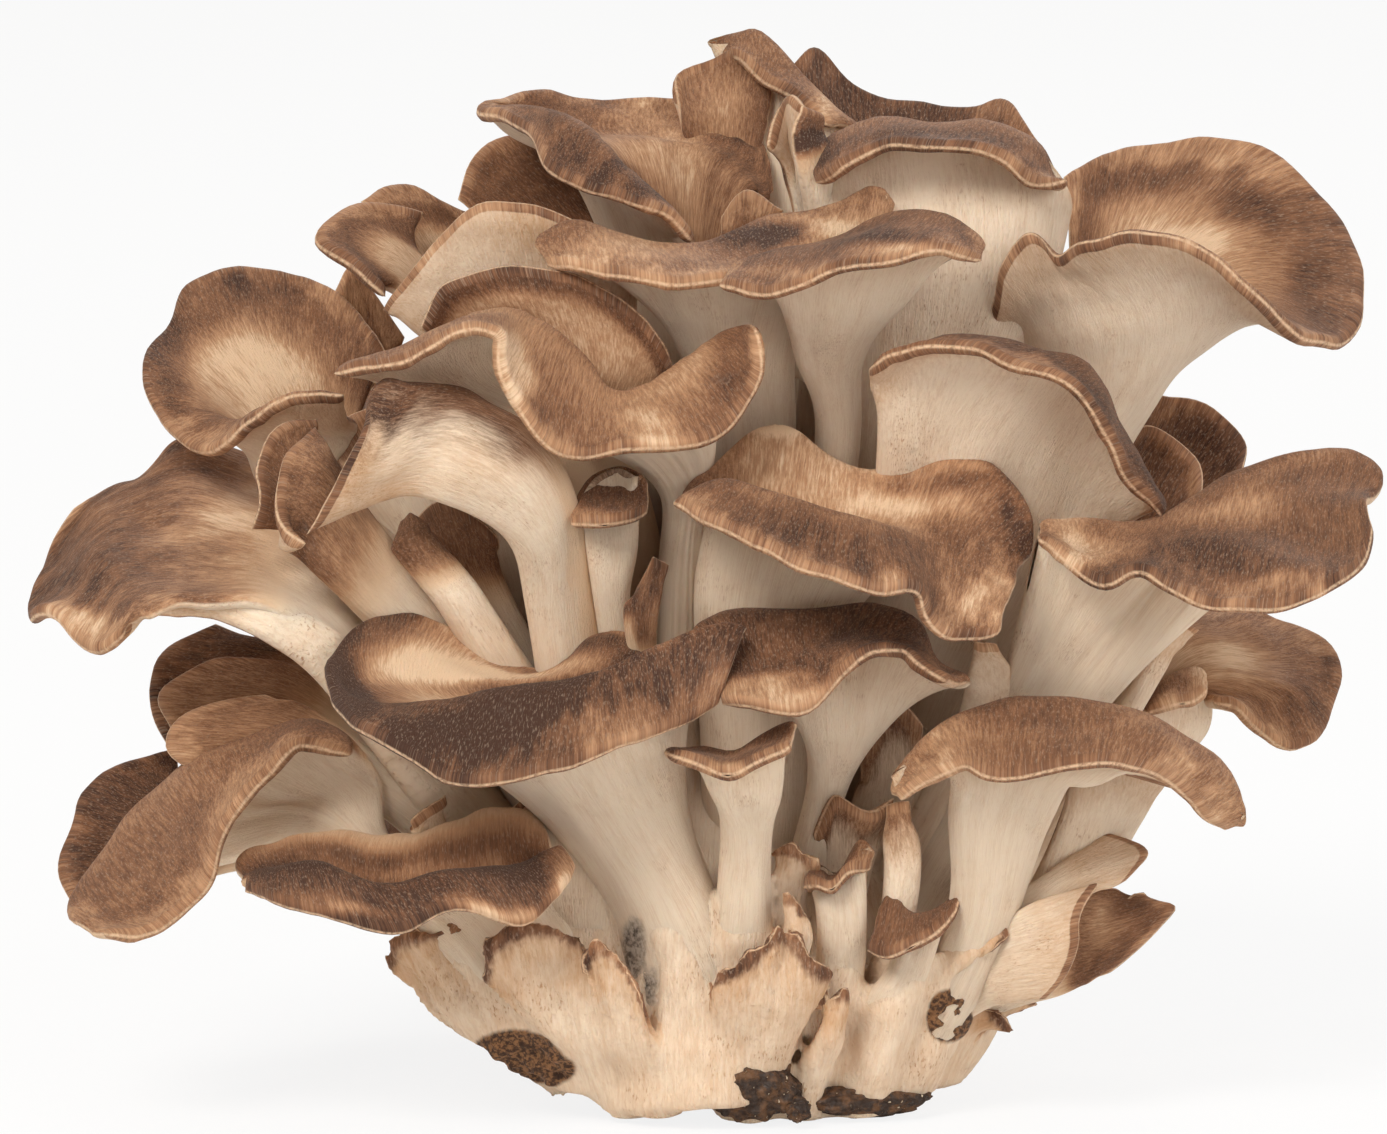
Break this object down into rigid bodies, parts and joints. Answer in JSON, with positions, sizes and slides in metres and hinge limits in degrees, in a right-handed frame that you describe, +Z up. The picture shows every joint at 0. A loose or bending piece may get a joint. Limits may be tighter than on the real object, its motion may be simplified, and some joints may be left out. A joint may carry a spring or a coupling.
{
  "type": "maitake mushroom cluster",
  "caption": "Hen-of-the-woods mushroom: a cluster of curled, overlapping brown caps on cream stalks that join in one cut foot, standing on its cut face.",
  "frame": {"origin": "on the flat cut face of the foot, below the middle of the cluster's width", "axes": "+Z up from the cut face; +X across the cluster, to the right as seen from the front; +Y to the back"},
  "size_m": [0.1998, 0.1434, 0.154],
  "materials": {
    "frond_flesh": "matt mushroom flesh: streaked brown on top, cream below",
    "stalk_flesh": "matt cream mushroom flesh",
    "growing_block": "dark, damp, crumbly"
  },
  "bodies": {
    "root": {"arch_left": "frond_flesh", "back_high_left": "frond_flesh", "back_high_mid": "frond_flesh", "back_high_right": "frond_flesh", "back_low_left": "frond_flesh", "back_low_mid": "frond_flesh", "back_low_right": "frond_flesh", "back_mid_left": "frond_flesh", "back_mid_right": "frond_flesh", "back_side_left": "frond_flesh", "back_side_right": "frond_flesh", "back_top_left": "frond_flesh", "back_top_right": "frond_flesh", "bowl_top": "frond_flesh", "cap_far_right": "frond_flesh", "cap_low_left": "frond_flesh", "cap_right": "frond_flesh", "cap_tucked": "frond_flesh", "club_centre": "frond_flesh", "club_low": "frond_flesh", "clubs_left": "frond_flesh", "crown_left": "frond_flesh", "crown_twin": "frond_flesh", "crumb_front": "growing_block", "crumb_side": "growing_block", "crumb_small": "growing_block", "cup_small": "frond_flesh", "curl_pale": "frond_flesh", "drape_left": "frond_flesh", "fan_arched": "frond_flesh", "fan_left_dark": "frond_flesh", "fan_low_left": "frond_flesh", "fan_upright": "frond_flesh", "fans_left": "frond_flesh", "fans_right_back": "frond_flesh", "finger_right": "frond_flesh", "foot": "stalk_flesh", "funnel_left": "frond_flesh", "funnel_right": "frond_flesh", "hood_centre": "frond_flesh", "hood_left": "frond_flesh", "hood_right": "frond_flesh", "leaf_right": "frond_flesh", "lip_right_top": "frond_flesh", "lobe_centre_left": "frond_flesh", "saddle_front": "frond_flesh", "saddle_high": "frond_flesh", "saddle_low": "frond_flesh", "sheet_back_left": "frond_flesh", "sheet_back_top": "frond_flesh", "shelf_right": "frond_flesh", "shell_right": "frond_flesh", "stub_left": "frond_flesh", "tongue_top": "frond_flesh", "tuck_left": "frond_flesh", "twin_upper_left": "frond_flesh", "wing_left": "frond_flesh", "wing_right": "frond_flesh"}
  },
  "joints": []
}
